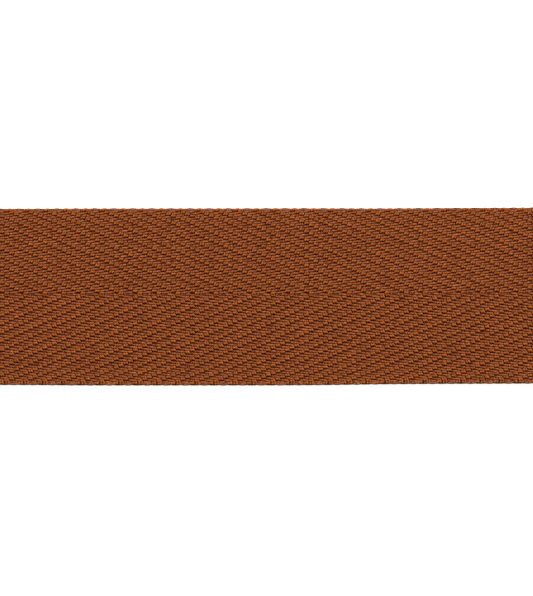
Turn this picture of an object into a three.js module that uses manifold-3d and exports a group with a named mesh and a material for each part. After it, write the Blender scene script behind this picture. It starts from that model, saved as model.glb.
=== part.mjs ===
// A cut length of herringbone twill ribbon, lying flat, as one closed solid.
// Millimetres, +Z up. The ribbon runs along X, its width lies along Y, and its underside is at Z = 0.
import * as THREE from "three";
import { mergeVertices } from "three/addons/utils/BufferGeometryUtils.js";
import Module from "manifold-3d";

// Driving dimensions
const LENGTH = 100;
const WIDTH = 25.4;
const THICKNESS = 1.1; // over the ridges
const ENDS = 84; // warp strands side by side across the width
const PICK_PITCH = 0.686; // along X, from one double weft pick to the next
const PICKS_PER_REPEAT = 4;
const POINT_Y = 0.35; // the line along which the twill turns back, a little off the middle
const FIRST_PICK = 0.97; // along X, the pick with which a repeat starts on that line

// The diagonal ridges of the twill, raised on the upper face
const RIDGE_HEIGHT = 0.14;
const RIDGE_PROFILE = [0, 0.62, 1, 0.62]; // share of the height at each pick of a repeat, from the furrow

// The woven edges: rounded, lower than the middle, with a small bump at every second pick
const EDGE_BAND = 0.6;
const EDGE_ROUND = 0.3;
const EDGE_DROP = 0.14;
const EDGE_BUMP = 0.1;
const PICKS_PER_BUMP = 2;

// How uneven the ribbon is: its middle line's sideways drift, and how much wider it is than WIDTH
const OUTLINE = [
  { along: -50, drift: -0.02, wider: -0.06 },
  { along: -35, drift: -0.04, wider: -0.02 },
  { along: -24, drift: -0.05, wider: 0.07 },
  { along: -12, drift: -0.05, wider: 0.08 },
  { along: 0, drift: -0.04, wider: 0.08 },
  { along: 11, drift: 0.0, wider: 0.0 },
  { along: 22, drift: 0.07, wider: -0.1 },
  { along: 34, drift: 0.13, wider: -0.08 },
  { along: 50, drift: 0.19, wider: -0.06 },
];

// The mesh: columns follow the ridges, one a pick, and rows run along the ribbon
const ROWS_PER_HALF = 3;
const LAYERS = 2;
const HALF_WIDTH = WIDTH / 2;
const SLANT = PICK_PITCH / (WIDTH / ENDS); // run along X for each millimetre away from the point line
const RUN_OUT = (HALF_WIDTH + POINT_Y) * SLANT;
const SPARE_COLUMNS = 2 * PICKS_PER_REPEAT;
const COLUMNS = Math.ceil((LENGTH + RUN_OUT) / PICK_PITCH) + SPARE_COLUMNS;
const FIRST_COLUMN = -Math.ceil(LENGTH / 2 / PICK_PITCH) - PICKS_PER_REPEAT;

// The value of one outline column at a place along the ribbon, level past the table's ends.
function outlineAt(name, along) {
  const next = OUTLINE.findIndex((row) => row.along >= along);
  if (next === 0) return OUTLINE[0][name];
  if (next < 0) return OUTLINE.at(-1)[name];
  const from = OUTLINE[next - 1];
  const to = OUTLINE[next];
  const share = THREE.MathUtils.smoothstep(along, from.along, to.along);
  return THREE.MathUtils.lerp(from[name], to[name], share);
}

// How far a row lies from the middle line: one row is on the point line, the outermost are the edges.
function acrossAt(row) {
  const side = Math.sign(row - ROWS_PER_HALF);
  const stepsOut = Math.abs(row - ROWS_PER_HALF);
  if (stepsOut === ROWS_PER_HALF) return side * HALF_WIDTH;
  const band = side * (HALF_WIDTH - EDGE_BAND);
  return THREE.MathUtils.lerp(POINT_Y, band, stepsOut / (ROWS_PER_HALF - 1));
}

// Moves one point of the unit box to its place on the ribbon.
function placeOnRibbon(point) {
  const column = FIRST_COLUMN + Math.round((point.x + 0.5) * COLUMNS);
  const phase = THREE.MathUtils.euclideanModulo(column, PICKS_PER_REPEAT);
  const row = Math.round((point.y + 0.5) * 2 * ROWS_PER_HALF);
  const across = acrossAt(row);
  const edge = Math.abs(across) === HALF_WIDTH ? Math.sign(across) : 0;
  const isTop = point.z > 0.25;
  const isMiddle = Math.abs(point.z) < 0.25;

  const x = FIRST_PICK + (column + 0.5) * PICK_PITCH - Math.abs(across - POINT_Y) * SLANT;

  let y = across * (1 + outlineAt("wider", x) / WIDTH) + outlineAt("drift", x);
  if (edge && !isMiddle) y -= edge * EDGE_ROUND;
  if (edge && isMiddle && phase % PICKS_PER_BUMP) y -= edge * EDGE_BUMP;

  let z = (point.z + 0.5) * THICKNESS;
  if (isTop && edge) z -= RIDGE_HEIGHT + EDGE_DROP;
  if (isTop && !edge) z -= RIDGE_HEIGHT * (1 - RIDGE_PROFILE[phase]);
  point.set(x, y, z);
}

// The woven strip, longer than the cut length, its ends slanting along the ridges.
function wovenStrip() {
  const strip = new THREE.BoxGeometry(1, 1, 1, COLUMNS, 2 * ROWS_PER_HALF, LAYERS);
  const position = strip.attributes.position;
  const point = new THREE.Vector3();
  for (let i = 0; i < position.count; i++) {
    point.fromBufferAttribute(position, i);
    placeOnRibbon(point);
    position.setXYZ(i, point.x, point.y, point.z);
  }
  return strip;
}

const wasm = await Module();
wasm.setup();

// A closed three.js geometry as a solid that can be cut.
function solidOf(geometry) {
  geometry.deleteAttribute("normal");
  geometry.deleteAttribute("uv");
  const merged = mergeVertices(geometry, 1e-4);
  return new wasm.Manifold(
    new wasm.Mesh({
      numProp: 3,
      vertProperties: merged.attributes.position.array,
      triVerts: new Uint32Array(merged.index.array),
    }),
  );
}

function geometryOf(solid) {
  const { vertProperties, triVerts } = solid.getMesh();
  const geometry = new THREE.BufferGeometry();
  geometry.setAttribute("position", new THREE.BufferAttribute(vertProperties, 3));
  geometry.setIndex(new THREE.BufferAttribute(triVerts, 1));
  return geometry;
}

// The strip with both ends cut square, and its box centred on the Z axis.
function cutLength() {
  const blade = new THREE.BoxGeometry(LENGTH, 2 * WIDTH, 4 * THICKNESS);
  const cut = geometryOf(solidOf(wovenStrip()).intersect(solidOf(blade)));
  cut.computeBoundingBox();
  const middle = cut.boundingBox.getCenter(new THREE.Vector3());
  return cut.translate(0, -middle.y, 0);
}

const cloth = new THREE.MeshStandardMaterial({ color: 0x7a4021, roughness: 0.62, metalness: 0 });
const ribbon = new THREE.Mesh(cutLength(), cloth);
ribbon.name = "ribbon";

const group = new THREE.Group();
group.add(ribbon);

export default group;
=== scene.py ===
"""A flat cut length of herringbone twill ribbon, woven strand by strand around its solid."""

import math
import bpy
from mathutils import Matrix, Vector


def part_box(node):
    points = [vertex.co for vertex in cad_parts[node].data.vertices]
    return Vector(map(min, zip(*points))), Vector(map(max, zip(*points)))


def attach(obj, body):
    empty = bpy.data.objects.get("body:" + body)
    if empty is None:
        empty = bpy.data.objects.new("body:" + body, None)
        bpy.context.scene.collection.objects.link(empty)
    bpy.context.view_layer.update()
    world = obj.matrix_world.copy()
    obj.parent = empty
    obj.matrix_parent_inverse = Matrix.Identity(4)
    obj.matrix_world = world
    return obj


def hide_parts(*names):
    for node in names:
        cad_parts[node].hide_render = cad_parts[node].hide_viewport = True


bl_info = {
    "name": "Herringbone Twill Ribbon",
    "version": (1, 0, 0),
    "blender": (4, 5, 0),
    "location": "3D View > Sidebar > Ribbon",
    "description": "Weaves a flat length of herringbone twill ribbon and lights it for a picture",
    "category": "Add Mesh",
}

import bpy

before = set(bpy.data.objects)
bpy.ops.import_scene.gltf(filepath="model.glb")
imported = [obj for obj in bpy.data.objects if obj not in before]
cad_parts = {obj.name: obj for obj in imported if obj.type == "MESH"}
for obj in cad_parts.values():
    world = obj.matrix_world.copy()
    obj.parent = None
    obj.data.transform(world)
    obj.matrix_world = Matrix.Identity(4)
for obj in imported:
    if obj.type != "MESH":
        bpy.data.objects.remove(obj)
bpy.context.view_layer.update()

MM = 0.001
LOW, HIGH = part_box("ribbon")
LENGTH = HIGH[0] - LOW[0]
THICKNESS = HIGH[2] - LOW[2]
MIDDLE_HEIGHT = LOW[2] + THICKNESS / 2
WIDTH = 25.4 * MM

# How uneven the ribbon is, in millimetres: its middle line's sideways drift, and its width beyond WIDTH
OUTLINE = [
    {"along": -50, "drift": -0.02, "wider": -0.06},
    {"along": -35, "drift": -0.04, "wider": -0.02},
    {"along": -24, "drift": -0.05, "wider": 0.07},
    {"along": -12, "drift": -0.05, "wider": 0.08},
    {"along": 0, "drift": -0.04, "wider": 0.08},
    {"along": 11, "drift": 0.0, "wider": 0.0},
    {"along": 22, "drift": 0.07, "wider": -0.1},
    {"along": 34, "drift": 0.13, "wider": -0.08},
    {"along": 50, "drift": 0.19, "wider": -0.06},
]

# The outline's box is centred on the origin, so the middle line moves by this much
UPPER_EDGE = max(row["drift"] + row["wider"] / 2 for row in OUTLINE) * MM + WIDTH / 2
LOWER_EDGE = min(row["drift"] - row["wider"] / 2 for row in OUTLINE) * MM - WIDTH / 2
CENTRING = -(UPPER_EDGE + LOWER_EDGE) / 2

# The picture in pixels: its height, the row in which the middle line lies, and the ribbon's width
FRAME_HEIGHT_PX = 596
MIDDLE_ROW_PX = 296.5
WIDTH_PX = 176.2
PIXEL = WIDTH / WIDTH_PX

# The weave: a repeat of four double picks, and the middle of the warp's float in it
PICKS_PER_REPEAT = 4
FLOAT_CENTRE = 2.5
RUN_ASIDE = 0.25  # how far each run of a double pick lies from the pick's middle, as a share of the pitch

# The noise texture's values lie close to 0.5, and this brings them out to about -1 to 1
NOISE_GAIN = 3.0

# Random unevenness: what is added to the seed for each use of it
SEED_ACROSS = 50
SEED_WARP_WAVE = 9
SEED_WARP_TONE = 21
SEED_WEFT_WAVE = 33
SEED_WEFT_TONE = 41

# Random unevenness: how far it changes along the ribbon, and from one strand to the next
STRAY_REACH = 3.0 * MM
WARP_WAVE_REACH = 1.4 * MM
WEFT_WAVE_REACH = 4  # in ends
WARP_WAVE_STEP = 3.7
WARP_TONE_STEP = 5.1
WEFT_WAVE_STEPS = (2.9, 1.3)  # from one double pick to the next, and between the two runs of one
WEFT_TONE_STEPS = (4.3, 2.1)
FIBRE_TONE_STEP = 30  # so far apart for each tone that no two strands have the same fibres or flecks
FLECK_TONE_STEP = 70
FADE_POWER = 8  # how late towards an edge or a cut end the straying dies away


# Settings


def length(name, description, millimetres):
    """A setting that is a length."""
    return bpy.props.FloatProperty(
        name=name, description=description, default=millimetres * MM, unit="LENGTH", precision=5
    )


def number(name, description, value):
    """A setting that is a plain number."""
    return bpy.props.FloatProperty(name=name, description=description, default=value)


def colour(name, description, linear):
    """A setting that is a colour, given as linear values."""
    return bpy.props.FloatVectorProperty(
        name=name, description=description, subtype="COLOR", size=3, default=linear
    )


class WeaveSettings(bpy.types.PropertyGroup):
    """How the strands are set out. Every one of these is an input of the weaving node trees."""

    ends: bpy.props.IntProperty(name="Ends", description="Warp strands across the width", default=84)
    point_end: bpy.props.IntProperty(
        name="Point End", description="Where the twill turns back, from the +Y edge", default=41
    )
    point_offset: length("Point Offset", "How far that strand lies from the middle line", 0.35)
    edge_inset: length("Edge Inset", "From the ribbon's edge to the middle of its outermost strand", 0.175)
    crowded_ends: number("Crowded Ends", "How many ends lie closer together at each edge", 8.0)
    crowding: number("Crowding", "How much closer they lie", 0.135)
    pick_pitch: length("Pick Pitch", "From one double weft pick to the next", 0.686)
    first_pick: length("First Pick", "Along the ribbon, where a repeat starts at the point end", 0.97)
    wander: length("Wander", "How far the strands stray together from their even places", 0.01)
    bulge: length("Bulge", "How far the outermost strands push out at the bumps of the +Y edge", 0.06)
    lower_bulge: number("Lower Bulge", "The same at the -Y edge, as a share of that", 0.3)
    seed: bpy.props.IntProperty(name="Seed", description="Start of everything random", default=7)


class WarpSettings(bpy.types.PropertyGroup):
    """The shape of the strands that run along the ribbon."""

    width: length("Strand Width", "Across the strand, in the cloth's plane", 0.475)
    height: length("Strand Height", "Across the strand, upright", 0.23)
    crimp: length("Crimp", "How far the strand waves up and down", 0.24)
    lean: length("Lean", "How far a float slants sideways", 0.054)
    shape: number("Shape", "How flat the tops of the waves are", 0.4)
    swell: number("Swell", "How much fatter a float is than a crossing", 0.22)
    slack: number("Slack", "How unevenly the strand waves", 0.06)
    rim_thinning: number("Rim Thinning", "How much thinner the outermost end is", 0.08)
    sides: bpy.props.IntProperty(name="Sides", description="Faces round the strand", default=7)
    steps: bpy.props.IntProperty(name="Steps", description="Points along the strand for each pick", default=2)


class WeftSettings(bpy.types.PropertyGroup):
    """The shape of the strand that runs to and fro across the ribbon."""

    width: length("Strand Width", "Across the strand, in the cloth's plane", 0.345)
    height: length("Strand Height", "Across the strand, upright", 0.21)
    crimp: length("Crimp", "How far the strand waves up and down", 0.41)
    lean: length("Lean", "How far a float slants sideways", 0.115)
    shape: number("Shape", "How sharp the tops of the waves are", 3.3)
    swell: number("Swell", "How much fatter a float is than a crossing", 0.1)
    slack: number("Slack", "How unevenly the strand waves", 0.04)
    rim_swell: number("Rim Swell", "How much fatter the strand is at the outermost end", 0.2)
    rim_reach: number("Rim Reach", "How far up and down it waves there, as a share of the crimp", 0.62)
    turn: length("Turn", "How far the strand runs past the outermost end before it turns", 0.03)
    sides: bpy.props.IntProperty(name="Sides", description="Faces round the strand", default=6)
    steps: bpy.props.IntProperty(name="Steps", description="Points along the strand for each end", default=2)


class ColourSettings(bpy.types.PropertyGroup):
    """The strands' colours, with painted sheen on the warp and painted shade between the strands, and how
    their fibres show.
    """

    # Warp and weft are one dye; the warp colour is made paler and pinker than the weft as painted sheen along
    # its floats.
    warp: colour("Warp", "The strands that run along", (0.452, 0.134, 0.045))
    weft: colour("Weft", "The strands that run across", (0.385, 0.097, 0.017))
    # Between is painted shade: a near-black colour for the shadow between strands, laid on strand flanks, in
    # fibre gaps and on the ground sheet.
    between: colour("Between", "Deep between the strands", (0.05, 0.002, 0.0001))
    warp_evenness: number("Warp Evenness", "How far its fibres hide the roundness of a warp strand", 1.0)
    weft_evenness: number("Weft Evenness", "How far its fibres hide the roundness of the weft strand", 0.85)
    # The flank settings paint shade: a strand darkens towards the Between colour down its flanks, standing
    # for the shadow in the grooves between strands.
    warp_flank_shade: number("Warp Flank", "How dark the flanks of a warp strand are", 1.0)
    weft_flank_shade: number("Weft Flank", "How dark the flanks of the weft strand are", 0.0)
    flank_shade_up: number("Flank Up", "How far up a strand its dark flanks reach", 0.66)
    crown_up: number("Crown Up", "How far up a strand its full colour starts", 0.98)
    fleck: number("Fleck", "How unevenly the fibres are coloured", 4.2)


class StageSettings(bpy.types.PropertyGroup):
    """The camera and the light."""

    lens: number("Lens", "Focal length in millimetres", 200.0)
    key: bpy.props.FloatProperty(name="Key", description="Power of the long lamp", default=13.8, unit="POWER")
    key_height: bpy.props.FloatProperty(
        name="Key Height", description="Above the table", default=math.radians(43), unit="ROTATION"
    )
    key_turn: bpy.props.FloatProperty(
        name="Key Turn", description="Away from square across the ribbon", default=-0.1, unit="ROTATION"
    )
    fill: number("Fill", "Strength of the light from all round", 0.045)


# Node trees, written as formulas


class Field:
    """The value of a socket, which can be reckoned with as a number is."""

    def __init__(self, tree, socket):
        self.tree = tree
        self.socket = socket

    def math(self, operation, *others):
        node = self.tree.nodes.new("ShaderNodeMath")
        node.operation = operation
        for slot, value in zip(node.inputs, (self, *others)):
            connect(slot, value)
        return Field(self.tree, node.outputs[0])

    def __add__(self, other):
        return self.math("ADD", other)

    def __sub__(self, other):
        return self.math("SUBTRACT", other)

    def __rsub__(self, other):
        return self.math("MULTIPLY", -1) + other

    def __mul__(self, other):
        return self.math("MULTIPLY", other)

    def __truediv__(self, other):
        return self.math("DIVIDE", other)

    __radd__ = __add__
    __rmul__ = __mul__


def connect(slot, value):
    """Feeds a socket with a field, or sets it to a plain value."""
    if isinstance(value, Field):
        value.tree.links.new(value.socket, slot)
    else:
        slot.default_value = value


def add_node(tree, kind, inputs=None, **settings):
    """A new node with its settings made and its inputs fed by name or number."""
    node = tree.nodes.new(kind)
    for name, value in settings.items():
        setattr(node, name, value)
    for name, value in (inputs or {}).items():
        connect(node.inputs[name], value)
    return node


def field(tree, kind, inputs=None, output=0, **settings):
    """One output of a new node, as a field."""
    return Field(tree, add_node(tree, kind, inputs, **settings).outputs[output])


def vector(tree, x=0.0, y=0.0, z=0.0):
    """Three fields or numbers as one vector."""
    return field(tree, "ShaderNodeCombineXYZ", {"X": x, "Y": y, "Z": z})


def noise(tree, x, y, z=0.0):
    """Smooth noise from about -1 to 1."""
    fac = field(tree, "ShaderNodeTexNoise", {"Vector": vector(tree, x, y, z), "Scale": 1.0, "Detail": 1.0})
    return (fac - 0.5) * NOISE_GAIN


def ramp(tree, value, start, end):
    """Rises smoothly from 0 where the value is at start to 1 where it is at end."""
    settings = {"Value": value, "From Min": start, "From Max": end}
    return field(tree, "ShaderNodeMapRange", settings, interpolation_type="SMOOTHSTEP")


SOCKET_KINDS = {
    "INT": "NodeSocketInt",
    "FLOAT": "NodeSocketFloat",
    "GEOMETRY": "NodeSocketGeometry",
    "MATERIAL": "NodeSocketMaterial",
}


def named_values(*groups):
    """The settings of some property groups, by the names that people read."""
    values = {}
    for group in groups:
        for name in type(group).__annotations__:
            values[group.bl_rna.properties[name].name] = getattr(group, name)
    return values


def new_weaving_tree(name, values):
    """A geometry node tree with a named input for each value, and those inputs as fields."""
    tree = bpy.data.node_groups.new(name, "GeometryNodeTree")
    for label, value in values.items():
        kind = "MATERIAL" if isinstance(value, bpy.types.Material) else type(value).__name__.upper()
        socket = tree.interface.new_socket(label, in_out="INPUT", socket_type=SOCKET_KINDS[kind])
        if kind != "MATERIAL":
            socket.default_value = value
    tree.interface.new_socket("Geometry", in_out="OUTPUT", socket_type=SOCKET_KINDS["GEOMETRY"])
    source = tree.nodes.new("NodeGroupInput")
    given = {label: Field(tree, source.outputs[label]) for label in values}
    return tree, given


# The rules of the weave, in fields


def outline_curve(tree, along, name):
    """One column of the outline table as a smooth curve along the ribbon."""
    values = [row[name] * MM for row in OUTLINE]
    low, high = min(values), max(values)
    node = add_node(tree, "ShaderNodeFloatCurve", {"Value": along / LENGTH + 0.5})
    curve = node.mapping.curves[0]
    for row, value in zip(OUTLINE, values):
        place = (row["along"] * MM / LENGTH + 0.5, (value - low) / (high - low))
        if row is OUTLINE[0]:
            curve.points[0].location = place
        elif row is OUTLINE[-1]:
            curve.points[-1].location = place
        else:
            curve.points.new(*place)
    node.mapping.update()
    return Field(tree, node.outputs[0]) * (high - low) + low


def place_end(tree, given, end):
    """Where an end lies across an even ribbon, its side, its steps from the point end, its rim and bulge.

    The rim is 1 on the outermost end, which rises and falls with its neighbour, and 0 on every other.
    """
    above = end.math("LESS_THAN", given["Point End"])
    side = above * 2 - 1
    steps = (end - given["Point End"]).math("ABSOLUTE")
    last_step = above * given["Point End"] + (1 - above) * (given["Ends"] - 1 - given["Point End"])
    reach = given["Width"] / 2 - given["Edge Inset"] - side * given["Point Offset"]
    pitch = reach / (last_step - given["Crowding"] * given["Crowded Ends"])
    crowded = (steps - last_step + given["Crowded Ends"]).math("MAXIMUM", 0)
    across = given["Point Offset"] + side * pitch * (steps - crowded * given["Crowding"])
    paired_steps = steps.math("MINIMUM", last_step - 1)
    rim = steps - paired_steps
    bulge = given["Bulge"] * (above + (1 - above) * given["Lower Bulge"])
    return across, side, paired_steps, rim, bulge


def float_wave(given, phase, shape):
    """A wave over four picks, flattened or sharpened: 1 where the warp floats, -1 where the weft does."""
    wave = ((phase - FLOAT_CENTRE) * (2 * math.pi / PICKS_PER_REPEAT)).math("COSINE")
    return (wave * given["Shape"]).math(shape) / given["Shape"].math(shape)


def side_wave(phase):
    """The sideways push on a float: -1 at its first pick, 1 at its last."""
    return ((phase - FLOAT_CENTRE) * (2 * math.pi / PICKS_PER_REPEAT)).math("SINE")


def on_ribbon(tree, given, along, across, height):
    """The place on the uneven ribbon for a place on an even one, with the strands' common wander."""
    wide = 1 + outline_curve(tree, along, "wider") / WIDTH
    middle = outline_curve(tree, along, "drift") + CENTRING
    x, y = along / STRAY_REACH, across / STRAY_REACH
    stray_along = noise(tree, x, y, given["Seed"]) * given["Wander"]
    stray_across = noise(tree, x, y, given["Seed"] + SEED_ACROSS) * given["Wander"]
    inside = 1 - (across / (WIDTH / 2)).math("POWER", FADE_POWER)
    short = 1 - (along / (LENGTH / 2)).math("POWER", FADE_POWER)
    return vector(tree, along + stray_along * short, across * wide + middle + stray_across * inside, height)


def strand_mesh(tree, given, curve, scale, tone):
    """Gives curves their round section, and stores for the fibres where on the strand each point is."""
    factor = field(tree, "GeometryNodeSplineParameter", output="Length")
    curve = store(tree, curve, "strand_along", factor)
    curve = store(tree, curve, "strand_tone", tone)
    circle = field(tree, "GeometryNodeCurvePrimitiveCircle", {"Resolution": given["Sides"], "Radius": 0.5})
    position = add_node(tree, "ShaderNodeSeparateXYZ", {0: field(tree, "GeometryNodeInputPosition")})
    circle = store(tree, circle, "strand_side", Field(tree, position.outputs["X"]) * 2)
    # On a curve whose normals point up, the circle's own Y points down
    circle = store(tree, circle, "strand_up", Field(tree, position.outputs["Y"]) * -2)
    section = vector(tree, given["Strand Width"], given["Strand Height"], 1.0)
    profile = field(tree, "GeometryNodeTransform", {"Geometry": circle, "Scale": section})
    upright = field(tree, "GeometryNodeSetCurveNormal", {"Curve": curve}, mode="Z_UP")
    parts = {"Curve": upright, "Profile Curve": profile, "Scale": scale, "Fill Caps": True}
    mesh = field(tree, "GeometryNodeCurveToMesh", parts)
    return field(tree, "GeometryNodeSetShadeSmooth", {"Geometry": mesh})


def store(tree, geometry, name, value):
    """Geometry with a value stored on each of its points under a name."""
    inputs = {"Geometry": geometry, "Name": name, "Value": value}
    return field(tree, "GeometryNodeStoreNamedAttribute", inputs, data_type="FLOAT", domain="POINT")


def finish_tree(tree, given, geometry):
    """Ends a tree in plain mesh with its material."""
    real = field(tree, "GeometryNodeRealizeInstances", {"Geometry": geometry})
    painted = field(tree, "GeometryNodeSetMaterial", {"Geometry": real, "Material": given["Material"]})
    connect(tree.nodes.new("NodeGroupOutput").inputs["Geometry"], painted)


def weave_warp(values):
    """The tree for a band of warp ends: straight lines, waved over and under the double picks."""
    tree, given = new_weaving_tree("Warp ends", values)
    line_ends = {"Start": vector(tree, LOW[0]), "End": vector(tree, HIGH[0])}
    line = field(tree, "GeometryNodeCurvePrimitiveLine", line_ends)
    count = given["Steps"] * LENGTH / given["Pick Pitch"]
    line = field(tree, "GeometryNodeResampleCurve", {"Curve": line, "Count": count}, mode="COUNT")
    places = field(tree, "GeometryNodeMeshLine", {"Count": given["Count"]})
    copies = field(tree, "GeometryNodeInstanceOnPoints", {"Points": places, "Instance": line})
    lines = field(tree, "GeometryNodeRealizeInstances", {"Geometry": copies})

    end = field(tree, "GeometryNodeCurveOfPoint", output="Curve Index") + given["First"]
    position = add_node(tree, "ShaderNodeSeparateXYZ", {0: field(tree, "GeometryNodeInputPosition")})
    along = Field(tree, position.outputs["X"])
    across, side, steps, rim, bulge = place_end(tree, given, end)
    seed = given["Seed"] + SEED_WARP_WAVE
    uneven = noise(tree, along / WARP_WAVE_REACH, end * WARP_WAVE_STEP, seed) * given["Slack"]
    phase = (along - given["First Pick"]) / given["Pick Pitch"] + steps + uneven
    wave = float_wave(given, phase, "TANH")
    height = MIDDLE_HEIGHT + given["Crimp"] * wave * (1 + uneven / 2)
    bump = bulge * rim * (wave.math("ABSOLUTE") - 0.5)
    across = across + side * (given["Lean"] * (1 - rim) * side_wave(phase) + bump)
    place = on_ribbon(tree, given, along, across, height)
    woven = field(tree, "GeometryNodeSetPosition", {"Geometry": lines, "Position": place})

    scale = 1 + given["Swell"] * (wave.math("ABSOLUTE") - 0.5) - rim * given["Rim Thinning"]
    tone = noise(tree, end * WARP_TONE_STEP, given["Seed"] + SEED_WARP_TONE)
    finish_tree(tree, given, strand_mesh(tree, given, woven, scale, tone))
    return tree


def weave_weft(values):
    """The tree for a band of double picks: one strand that runs to and fro and turns at the edges."""
    tree, given = new_weaving_tree("Weft picks", values)
    turn_points = 2
    last_end = given["Ends"] - 1
    per_run = last_end * given["Steps"] + 1 + 2 * turn_points
    path = field(tree, "GeometryNodeMeshLine", {"Count": per_run * given["Count"] * 2})
    path = field(tree, "GeometryNodeMeshToCurve", {"Mesh": path})

    index = field(tree, "GeometryNodeInputIndex")
    run_number = (index / per_run).math("FLOOR")
    back = run_number.math("MODULO", 2)
    step = index.math("MODULO", per_run) - turn_points
    turning_in = (step / -(turn_points + 0.5)).math("MAXIMUM", 0) * (math.pi / 2)
    step_out = step - last_end * given["Steps"]
    turning_out = (step_out / (turn_points + 0.5)).math("MAXIMUM", 0) * (math.pi / 2)
    passed = (step / given["Steps"]).math("MAXIMUM", 0).math("MINIMUM", last_end)
    end = passed + back * (last_end - passed * 2)

    across, side, steps, rim, bulge = place_end(tree, given, end)
    pick = given["First"] + (run_number / 2).math("FLOOR")
    aside = (back * 2 - 1) * RUN_ASIDE
    own_wave = float_wave(given, pick + steps + aside, "SINH")
    bump = bulge * (own_wave.math("ABSOLUTE") - 0.5)
    turning = turning_in.math("SINE") + turning_out.math("SINE")
    across = across + side * (given["Turn"] + bump) * turning
    to_next, to_other_run = WEFT_WAVE_STEPS
    run = pick * to_next + back * to_other_run
    uneven = noise(tree, end / WEFT_WAVE_REACH, run, given["Seed"] + SEED_WEFT_WAVE) * given["Slack"]
    phase = pick + steps
    wave = float_wave(given, phase + uneven, "SINH")
    wave = wave + rim * (wave.math("SIGN") * given["Rim Reach"] - wave)
    bend = (turning_in.math("COSINE") - turning_out.math("COSINE")) * (given["Pick Pitch"] * RUN_ASIDE)
    along = given["First Pick"] + (pick + aside) * given["Pick Pitch"] + bend
    along = along - given["Lean"] * side_wave(phase)
    upright = turning_in.math("COSINE") * turning_out.math("COSINE")
    height = MIDDLE_HEIGHT - given["Crimp"] * wave * (1 + uneven / 2) * upright
    place = on_ribbon(tree, given, along, across, height)
    woven = field(tree, "GeometryNodeSetPosition", {"Geometry": path, "Position": place})

    scale = 1 + given["Swell"] * (wave.math("ABSOLUTE") - 0.5) + rim * given["Rim Swell"]
    to_next, to_other_run = WEFT_TONE_STEPS
    tone = noise(tree, pick * to_next + back * to_other_run, given["Seed"] + SEED_WEFT_TONE)
    finish_tree(tree, given, strand_mesh(tree, given, woven, scale, tone))
    return tree


def woven_piece(name, tree, values):
    """Evaluates a weaving tree into a plain mesh piece that stands for the ribbon's solid."""
    piece = bpy.data.objects.new(name, bpy.data.meshes.new(name))
    bpy.context.scene.collection.objects.link(piece)
    modifier = piece.modifiers.new("Weave", "NODES")
    modifier.node_group = tree
    for item in tree.interface.items_tree:
        if item.in_out == "INPUT":
            modifier[item.identifier] = values[item.name]
    woven = piece.evaluated_get(bpy.context.evaluated_depsgraph_get())
    mesh = bpy.data.meshes.new_from_object(woven)
    if not mesh.polygons:
        raise RuntimeError(f"{name} came out empty")
    piece.modifiers.clear()
    piece.data = mesh
    mesh.name = name
    ride_as_ribbon(piece)
    return piece


def ride_as_ribbon(piece):
    """Lets a piece move with and stand for the ribbon's solid."""
    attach(piece, "root")
    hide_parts("ribbon")


# Materials


def fibre_group():
    """Shader group: the fine fibres laid round a strand, as a colour with painted shade on its flanks and
    between its fibres, a roughness and a height.
    """
    if "Fibres" in bpy.data.node_groups:
        return bpy.data.node_groups["Fibres"]
    tree = bpy.data.node_groups.new("Fibres", "ShaderNodeTree")
    inputs = [
        ("Colour", "NodeSocketColor", (0.3, 0.1, 0.04, 1.0)),
        ("Shade", "NodeSocketColor", (0.05, 0.01, 0.002, 1.0)),
        ("Twist Length", "NodeSocketFloat", 1.6 * MM),
        ("Fibres Round", "NodeSocketFloat", 9.0),
        ("Fibre Length", "NodeSocketFloat", 0.8 * MM),
        ("Fleck", "NodeSocketFloat", 3.0),
        ("Fleck Length", "NodeSocketFloat", 0.12 * MM),
        ("Flecks Round", "NodeSocketFloat", 10.0),
        ("Flank Shade", "NodeSocketFloat", 0.5),
        ("Flank Up", "NodeSocketFloat", 0.65),
        ("Crown Up", "NodeSocketFloat", 0.97),
    ]
    for label, kind, value in inputs:
        tree.interface.new_socket(label, in_out="INPUT", socket_type=kind).default_value = value
    outputs = [("Colour", "NodeSocketColor"), ("Roughness", "NodeSocketFloat"), ("Height", "NodeSocketFloat")]
    for label, kind in outputs:
        tree.interface.new_socket(label, in_out="OUTPUT", socket_type=kind)
    source = tree.nodes.new("NodeGroupInput")
    given = {label: Field(tree, source.outputs[label]) for label, _, _ in inputs}

    along, side, up, tone = (
        field(tree, "ShaderNodeAttribute", output="Fac", attribute_name=f"strand_{name}")
        for name in ("along", "side", "up", "tone")
    )
    turned = side.math("ARCTAN2", up) / (2 * math.pi)
    helix = (turned + along / given["Twist Length"]) * given["Fibres Round"]
    lie = vector(tree, helix, along / given["Fibre Length"], tone * FIBRE_TONE_STEP)
    streaks = {"Vector": lie, "Scale": 1.0, "Detail": 3.0, "Roughness": 0.6}
    fibres = field(tree, "ShaderNodeTexNoise", streaks)
    around = turned * given["Flecks Round"]
    spot = vector(tree, along / given["Fleck Length"], around, tone * FLECK_TONE_STEP)
    fleck = field(tree, "ShaderNodeTexNoise", {"Vector": spot, "Scale": 1.0, "Detail": 1.0}) - 0.5
    # Painted shade: the colour darkens to the Shade colour down the strand's flanks, for the grooves between
    # strands, and in the gaps between its fibres.
    on_top = ramp(tree, up.math("ABSOLUTE"), given["Flank Up"], given["Crown Up"])
    gap, fibre = 0.2, 0.55
    shown = ramp(tree, fibres, gap, fibre) * (1 - given["Flank Shade"] * (1 - on_top))
    ends = {0: shown, 6: given["Shade"], 7: given["Colour"]}
    coloured = field(tree, "ShaderNodeMix", ends, output=2, data_type="RGBA")
    bright = 1 + fleck * given["Fleck"]
    toned = field(tree, "ShaderNodeVectorMath", {0: coloured, "Scale": bright}, operation="SCALE")
    rough_gap, rough_fibre = 0.8, 0.65
    rough = rough_gap - shown * (rough_gap - rough_fibre)
    target = tree.nodes.new("NodeGroupOutput")
    connect(target.inputs["Colour"], toned)
    connect(target.inputs["Roughness"], rough)
    connect(target.inputs["Height"], fibres)
    return tree


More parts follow.
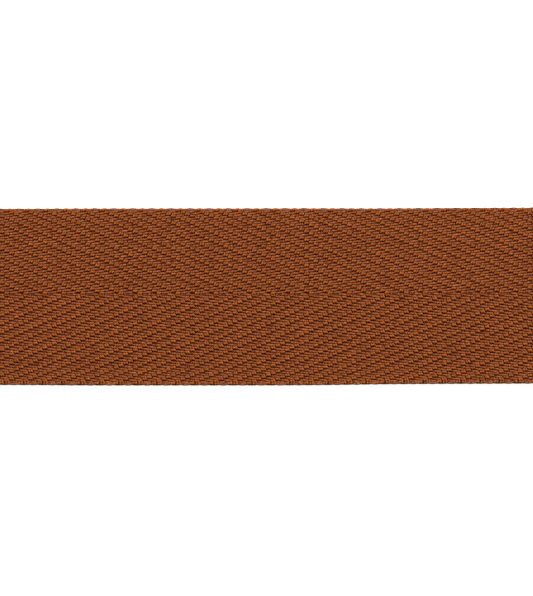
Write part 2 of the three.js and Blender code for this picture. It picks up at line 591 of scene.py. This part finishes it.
def yarn_material(name, colours, across, own, evenness, flank_shade):
    """A strand of fine polyester fibres, whose normals are evened out in the direction across it."""
    material = bpy.data.materials.new(name)
    material.use_nodes = True
    tree = material.node_tree
    surface = tree.nodes["Principled BSDF"]
    fibres = tree.nodes.new("ShaderNodeGroup")
    fibres.node_tree = fibre_group()
    # For the warp this colour carries painted sheen, paler and pinker than the weft's.
    fibres.inputs["Colour"].default_value = (*own, 1.0)
    fibres.inputs["Shade"].default_value = (*colours.between, 1.0)
    fibres.inputs["Fleck"].default_value = colours.fleck
    # The flank inputs set the painted shade on the strand's flanks.
    fibres.inputs["Flank Shade"].default_value = flank_shade
    fibres.inputs["Flank Up"].default_value = colours.flank_shade_up
    fibres.inputs["Crown Up"].default_value = colours.crown_up
    normal = field(tree, "ShaderNodeNewGeometry", output="Normal")
    reckon = "ShaderNodeVectorMath"
    sideways = field(tree, reckon, {0: normal, 1: across}, output="Value", operation="DOT_PRODUCT")
    push = field(tree, reckon, {0: across, "Scale": sideways * evenness}, operation="SCALE")
    even = field(tree, reckon, {0: normal, 1: push}, operation="SUBTRACT")
    even = field(tree, reckon, {0: even}, operation="NORMALIZE")
    bump = add_node(tree, "ShaderNodeBump", {"Strength": 0.35, "Distance": 0.02 * MM, "Normal": even})
    tree.links.new(fibres.outputs["Height"], bump.inputs["Height"])
    tree.links.new(fibres.outputs["Colour"], surface.inputs["Base Color"])
    tree.links.new(fibres.outputs["Roughness"], surface.inputs["Roughness"])
    tree.links.new(bump.outputs["Normal"], surface.inputs["Normal"])
    surface.inputs["Specular IOR Level"].default_value = 0.08
    return material


def ground_material(shade):
    """The packed fibres deep inside the cloth, coloured near black with the Between colour as painted shade
    seen through the gaps between the strands.
    """
    material = bpy.data.materials.new("Packed fibres in painted shade")
    material.use_nodes = True
    tree = material.node_tree
    surface = tree.nodes["Principled BSDF"]
    place = field(tree, "ShaderNodeTexCoord", output="Object")
    grains_per_metre = 9000.0
    grain = field(tree, "ShaderNodeTexNoise", {"Vector": place, "Scale": grains_per_metre, "Detail": 2.0})
    lighter = [2 * part for part in shade]
    ends = {0: grain, 6: (*shade, 1.0), 7: (*lighter, 1.0)}
    connect(surface.inputs["Base Color"], field(tree, "ShaderNodeMix", ends, output=2, data_type="RGBA"))
    surface.inputs["Roughness"].default_value = 0.9
    return material


def floor_material():
    """Plain white, so bright to the camera that a thin ribbon's shadow is lost in it."""
    material = bpy.data.materials.new("White floor")
    material.use_nodes = True
    tree = material.node_tree
    tree.nodes.remove(tree.nodes["Principled BSDF"])
    white = (0.9, 0.9, 0.9, 1.0)
    paper = field(tree, "ShaderNodeBsdfDiffuse", {"Color": white})
    seen = field(tree, "ShaderNodeLightPath", output="Is Camera Ray")
    outshine = 1.05
    glow = field(tree, "ShaderNodeEmission", {"Color": white, "Strength": seen * outshine})
    both = field(tree, "ShaderNodeAddShader", {0: paper, 1: glow})
    connect(tree.nodes["Material Output"].inputs["Surface"], both)
    return material


# Operators


class RIBBON_OT_ground(bpy.types.Operator):
    """Lays the thin sheet of packed fibres inside the cloth, a dark sheet of painted shade that shows through
    the gaps between the strands
    """

    bl_idname = "ribbon.ground"
    bl_label = "Lay Ground"

    def execute(self, context):
        scene = context.scene
        stations = 60
        margin = 0.5 * MM
        end_margin = 0.1 * MM
        half_thickness = 0.05 * MM
        corners = [(-1, -1), (1, -1), (1, 1), (-1, 1)]
        points = []
        for station in range(stations + 1):
            along = LOW[0] + end_margin + (LENGTH - 2 * end_margin) * station / stations
            middle, half_width = outline_at(along)
            for side, layer in corners:
                across = middle + side * (half_width - margin)
                points.append((along, across, MIDDLE_HEIGHT + layer * half_thickness))
        ring = len(corners)
        faces = [(0, 1, 2, 3), tuple(ring * stations + i for i in (3, 2, 1, 0))]
        for station in range(stations):
            start = ring * station
            for i in range(ring):
                j = (i + 1) % ring
                faces.append((start + i, start + ring + i, start + ring + j, start + j))
        mesh = bpy.data.meshes.new("ground")
        mesh.from_pydata(points, [], faces)
        mesh.validate()
        mesh.materials.append(ground_material(scene.ribbon_colours.between))
        ground = bpy.data.objects.new("ground", mesh)
        scene.collection.objects.link(ground)
        ride_as_ribbon(ground)
        return {"FINISHED"}


def outline_at(along):
    """The ribbon's middle line and half width at one place along it."""
    rows = [(row["along"] * MM, row["drift"] * MM, row["wider"] * MM) for row in OUTLINE]
    for (start, drift, wider), (end, next_drift, next_wider) in zip(rows, rows[1:]):
        if start <= along <= end:
            share = (along - start) / (end - start)
            share = share * share * (3 - 2 * share)
            middle = drift + (next_drift - drift) * share + CENTRING
            return middle, (WIDTH + wider + (next_wider - wider) * share) / 2
    raise ValueError(f"{along} is off the ribbon")


def weave_bands(name, tree, values, first, count, bands):
    """Weaves some strands in bands of about the same size, one piece each."""
    starts = [first + count * band // bands for band in range(bands + 1)]
    for band in range(bands):
        values["First"] = starts[band]
        values["Count"] = starts[band + 1] - starts[band]
        woven_piece(f"{name}_{band + 1}", tree, values)


class RIBBON_OT_warp(bpy.types.Operator):
    """Weaves the strands that run along the ribbon, in bands"""

    bl_idname = "ribbon.warp"
    bl_label = "Weave Warp"

    def execute(self, context):
        scene = context.scene
        weave = scene.ribbon_weave
        colours = scene.ribbon_colours
        looks = (colours.warp, colours.warp_evenness, colours.warp_flank_shade)
        yarn = yarn_material("Warp yarn", colours, (0, 1, 0), *looks)
        values = named_values(weave, scene.ribbon_warp)
        values |= {"Width": WIDTH, "First": 0, "Count": weave.ends, "Material": yarn}
        weave_bands("warp", weave_warp(values), values, 0, weave.ends, bands=3)
        return {"FINISHED"}


class RIBBON_OT_weft(bpy.types.Operator):
    """Weaves the double picks that run across the ribbon and turn at its edges, in bands"""

    bl_idname = "ribbon.weft"
    bl_label = "Weave Weft"

    def execute(self, context):
        scene = context.scene
        weave = scene.ribbon_weave
        colours = scene.ribbon_colours
        spare = weave.pick_pitch / 2
        first = math.ceil((LOW[0] + spare - weave.first_pick) / weave.pick_pitch)
        last = math.floor((HIGH[0] - spare - weave.first_pick) / weave.pick_pitch)
        count = last + 1 - first
        looks = (colours.weft, colours.weft_evenness, colours.weft_flank_shade)
        yarn = yarn_material("Weft yarn", colours, (1, 0, 0), *looks)
        values = named_values(weave, scene.ribbon_weft)
        values |= {"Width": WIDTH, "First": first, "Count": count, "Material": yarn}
        weave_bands("weft", weave_weft(values), values, first, count, bands=4)
        return {"FINISHED"}


class RIBBON_OT_declare(bpy.types.Operator):
    bl_idname = "ribbon.declare"
    bl_label = "Declare Cloth"

    def execute(self, context):
        return {"FINISHED"}


class RIBBON_OT_stage(bpy.types.Operator):
    """Sets the floor, the light and the camera that looks straight down"""

    bl_idname = "ribbon.stage"
    bl_label = "Set Stage"

    def execute(self, context):
        scene = context.scene
        stage = scene.ribbon_stage
        self.lay_floor(scene)
        self.hang_key(scene, stage.key, stage.key_height, stage.key_turn)
        self.light_round(scene, stage.fill)
        self.place_camera(scene, stage.lens)
        scene.view_settings.view_transform = "Standard"
        scene.view_settings.look = "None"
        return {"FINISHED"}

    def lay_floor(self, scene):
        half = 1.5
        mesh = bpy.data.meshes.new("floor")
        corners = [(-half, -half), (half, -half), (half, half), (-half, half)]
        mesh.from_pydata([(x, y, LOW[2]) for x, y in corners], [], [(0, 1, 2, 3)])
        mesh.materials.append(floor_material())
        floor = bpy.data.objects.new("floor", mesh)
        scene.collection.objects.link(floor)

    def hang_key(self, scene, power, height, turn):
        """A long lamp beside the ribbon, so that all the light comes across it at one height."""
        reach = 1.0
        lamp = bpy.data.lights.new("Key", "AREA")
        lamp.shape = "RECTANGLE"
        lamp.size = 0.5
        lamp.size_y = 0.25
        lamp.energy = power
        key = bpy.data.objects.new("Key", lamp)
        away = reach * math.cos(height)
        key.location = (-away * math.sin(turn), away * math.cos(turn), reach * math.sin(height))
        key.rotation_euler = (height - math.pi / 2, 0, turn)
        scene.collection.objects.link(key)

    def light_round(self, scene, strength):
        """Faint light from all round, from a sky that is white to the camera."""
        world = bpy.data.worlds.new("Studio")
        world.use_nodes = True
        background = world.node_tree.nodes["Background"]
        background.inputs["Color"].default_value = (1.0, 1.0, 1.0, 1.0)
        seen = field(world.node_tree, "ShaderNodeLightPath", output="Is Camera Ray")
        connect(background.inputs["Strength"], seen * (1 - strength) + strength)
        scene.world = world

    def place_camera(self, scene, lens):
        sensor = 36.0
        frame_height = FRAME_HEIGHT_PX * PIXEL
        below_middle = (FRAME_HEIGHT_PX / 2 - MIDDLE_ROW_PX) * PIXEL
        camera = bpy.data.cameras.new("Camera")
        camera.lens = lens
        camera.sensor_width = sensor
        camera.clip_start = 0.01
        eye = bpy.data.objects.new("Camera", camera)
        eye.location = (0, CENTRING - below_middle, HIGH[2] + lens * frame_height / sensor)
        scene.collection.objects.link(eye)
        scene.camera = eye


class RIBBON_PT_panel(bpy.types.Panel):
    """Lists the ribbon's settings and its makers"""

    bl_idname = "RIBBON_PT_panel"
    bl_label = "Herringbone Ribbon"
    bl_space_type = "VIEW_3D"
    bl_region_type = "UI"
    bl_category = "Ribbon"

    def draw(self, context):
        scene = context.scene
        for maker in MAKERS:
            self.layout.operator(maker.bl_idname)
        for name, (settings, label) in SETTINGS.items():
            box = self.layout.box()
            box.label(text=label)
            for setting in settings.__annotations__:
                box.prop(getattr(scene, name), setting)


SETTINGS = {
    "ribbon_weave": (WeaveSettings, "Weave"),
    "ribbon_warp": (WarpSettings, "Warp"),
    "ribbon_weft": (WeftSettings, "Weft"),
    "ribbon_colours": (ColourSettings, "Colours"),
    "ribbon_stage": (StageSettings, "Stage"),
}
MAKERS = [RIBBON_OT_ground, RIBBON_OT_warp, RIBBON_OT_weft, RIBBON_OT_declare, RIBBON_OT_stage]
CLASSES = [cls for cls, _ in SETTINGS.values()] + MAKERS + [RIBBON_PT_panel]


def register():
    for cls in CLASSES:
        bpy.utils.register_class(cls)
    for name, (cls, label) in SETTINGS.items():
        setattr(bpy.types.Scene, name, bpy.props.PointerProperty(type=cls, name=label))


def unregister():
    for name in SETTINGS:
        delattr(bpy.types.Scene, name)
    for cls in reversed(CLASSES):
        bpy.utils.unregister_class(cls)


def main():
    register()
    bpy.ops.ribbon.ground()
    bpy.ops.ribbon.warp()
    bpy.ops.ribbon.weft()
    bpy.ops.ribbon.declare()
    bpy.ops.ribbon.stage()


if __name__ == "__main__":
    main()
